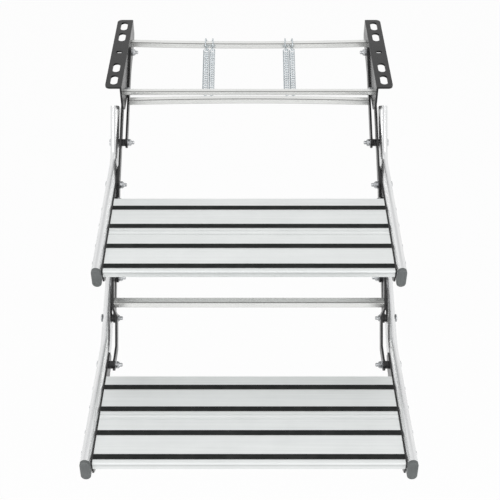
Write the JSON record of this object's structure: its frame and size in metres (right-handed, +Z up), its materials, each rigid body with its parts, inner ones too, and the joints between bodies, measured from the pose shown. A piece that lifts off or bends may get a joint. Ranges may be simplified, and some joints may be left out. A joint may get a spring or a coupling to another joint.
{
  "type": "caravan entry step",
  "caption": "Folding double entry step for a caravan door, with ribbed aluminium treads, side rails, black links, tension springs and bolt-on brackets.",
  "frame": {"origin": "midpoint between the short slots of the two brackets, on the flanges' top faces, where the step meets the vehicle", "axes": "-Y towards the person climbing (the front), +Y towards the vehicle, +Z up, +X to the right seen from the front"},
  "size_m": [0.589, 0.9961, 0.3671],
  "materials": {
    "black_steel": "satin",
    "rail_aluminium": "satin",
    "plank_aluminium": "satin",
    "bar_metal": "satin",
    "zinc_fastener": "satin",
    "spring_zinc": "satin",
    "cap_plastic": "matt",
    "strip_rubber": "matt",
    "spacer_plastic": "matt"
  },
  "bodies": {
    "brackets": {"bracket_left": "black_steel", "bracket_right": "black_steel", "rear_tie_bar": "bar_metal", "front_tie_bar": "bar_metal", "bracket_bolts": "zinc_fastener", "bracket_nuts": "zinc_fastener", "bracket_bar_screws": "zinc_fastener", "spring_1": "spring_zinc", "spring_2": "spring_zinc", "spring_3": "spring_zinc", "spring_4": "spring_zinc"},
    "upper_rear_links": {"upper_rear_link_left": "black_steel", "upper_rear_link_right": "black_steel", "spring_bar": "bar_metal", "spring_bar_screws": "zinc_fastener"},
    "upper_front_links": {"upper_front_link_left": "black_steel", "upper_front_link_right": "black_steel", "drive_bolts": "zinc_fastener", "drive_nuts": "zinc_fastener"},
    "drive_links": {"drive_link_left": "black_steel", "drive_link_right": "black_steel"},
    "upper_step": {"upper_rail_left": "rail_aluminium", "upper_rail_right": "rail_aluminium", "upper_cap_left": "cap_plastic", "upper_cap_right": "cap_plastic", "upper_side_plate_left": "black_steel", "upper_side_plate_right": "black_steel", "upper_front_plank": "plank_aluminium", "upper_rear_plank": "plank_aluminium", "upper_strip_1": "strip_rubber", "upper_strip_2": "strip_rubber", "upper_strip_3": "strip_rubber", "upper_strip_4": "strip_rubber", "upper_plank_screws": "zinc_fastener", "upper_pivot_bolts": "zinc_fastener", "upper_pivot_nuts": "zinc_fastener", "upper_spacers": "spacer_plastic"},
    "lower_rear_links": {"lower_rear_link_left": "black_steel", "lower_rear_link_right": "black_steel", "drive_pins": "zinc_fastener"},
    "lower_front_links": {"lower_front_link_left": "black_steel", "lower_front_link_right": "black_steel", "lower_tie_bar": "bar_metal", "lower_bar_screws": "zinc_fastener"},
    "lower_step": {"lower_rail_left": "rail_aluminium", "lower_rail_right": "rail_aluminium", "lower_cap_left": "cap_plastic", "lower_cap_right": "cap_plastic", "lower_side_plate_left": "black_steel", "lower_side_plate_right": "black_steel", "lower_front_plank": "plank_aluminium", "lower_rear_plank": "plank_aluminium", "lower_strip_1": "strip_rubber", "lower_strip_2": "strip_rubber", "lower_strip_3": "strip_rubber", "lower_strip_4": "strip_rubber", "lower_plank_screws": "zinc_fastener", "lower_pivot_bolts": "zinc_fastener", "lower_pivot_nuts": "zinc_fastener", "lower_spacers": "spacer_plastic"}
  },
  "joints": [
    {"name": "fold", "type": "hinge", "parent": "brackets", "child": "upper_front_links", "pos_m": [0, -0.072, -0.052], "axis": [1, 0, 0], "range_deg": [0, 120]},
    {"name": "upper_rear_link_pivot", "type": "hinge", "parent": "brackets", "child": "upper_rear_links", "pos_m": [0, 0.032, -0.02], "axis": [1, 0, 0], "range_deg": [0, 120], "deforming": ["spring_1", "spring_2", "spring_3", "spring_4"]},
    {"name": "upper_step_pivot", "type": "hinge", "parent": "upper_front_links", "child": "upper_step", "pos_m": [0, -0.26179, -0.1572], "axis": [1, 0, 0], "range_deg": [-120, 0]},
    {"name": "drive_link_pivot", "type": "hinge", "parent": "upper_front_links", "child": "drive_links", "pos_m": [0, -0.38139, -0.2558], "axis": [1, 0, 0], "range_deg": [-120, 0]},
    {"name": "lower_rear_link_pivot", "type": "hinge", "parent": "upper_step", "child": "lower_rear_links", "pos_m": [0, -0.30579, -0.1662], "axis": [1, 0, 0], "range_deg": [0, 120]},
    {"name": "lower_front_link_pivot", "type": "hinge", "parent": "upper_step", "child": "lower_front_links", "pos_m": [0, -0.40579, -0.1932], "axis": [1, 0, 0], "range_deg": [0, 120]},
    {"name": "lower_step_pivot", "type": "hinge", "parent": "lower_front_links", "child": "lower_step", "pos_m": [0, -0.5879, -0.34332], "axis": [1, 0, 0], "range_deg": [-120, 0]}
  ],
  "couplings": [
    {"joint": "upper_rear_link_pivot", "follows": "fold", "ratio": 1},
    {"joint": "upper_step_pivot", "follows": "fold", "ratio": -1},
    {"joint": "drive_link_pivot", "follows": "fold", "ratio": -1},
    {"joint": "lower_rear_link_pivot", "follows": "fold", "ratio": 1},
    {"joint": "lower_front_link_pivot", "follows": "fold", "ratio": 1},
    {"joint": "lower_step_pivot", "follows": "fold", "ratio": -1}
  ]
}
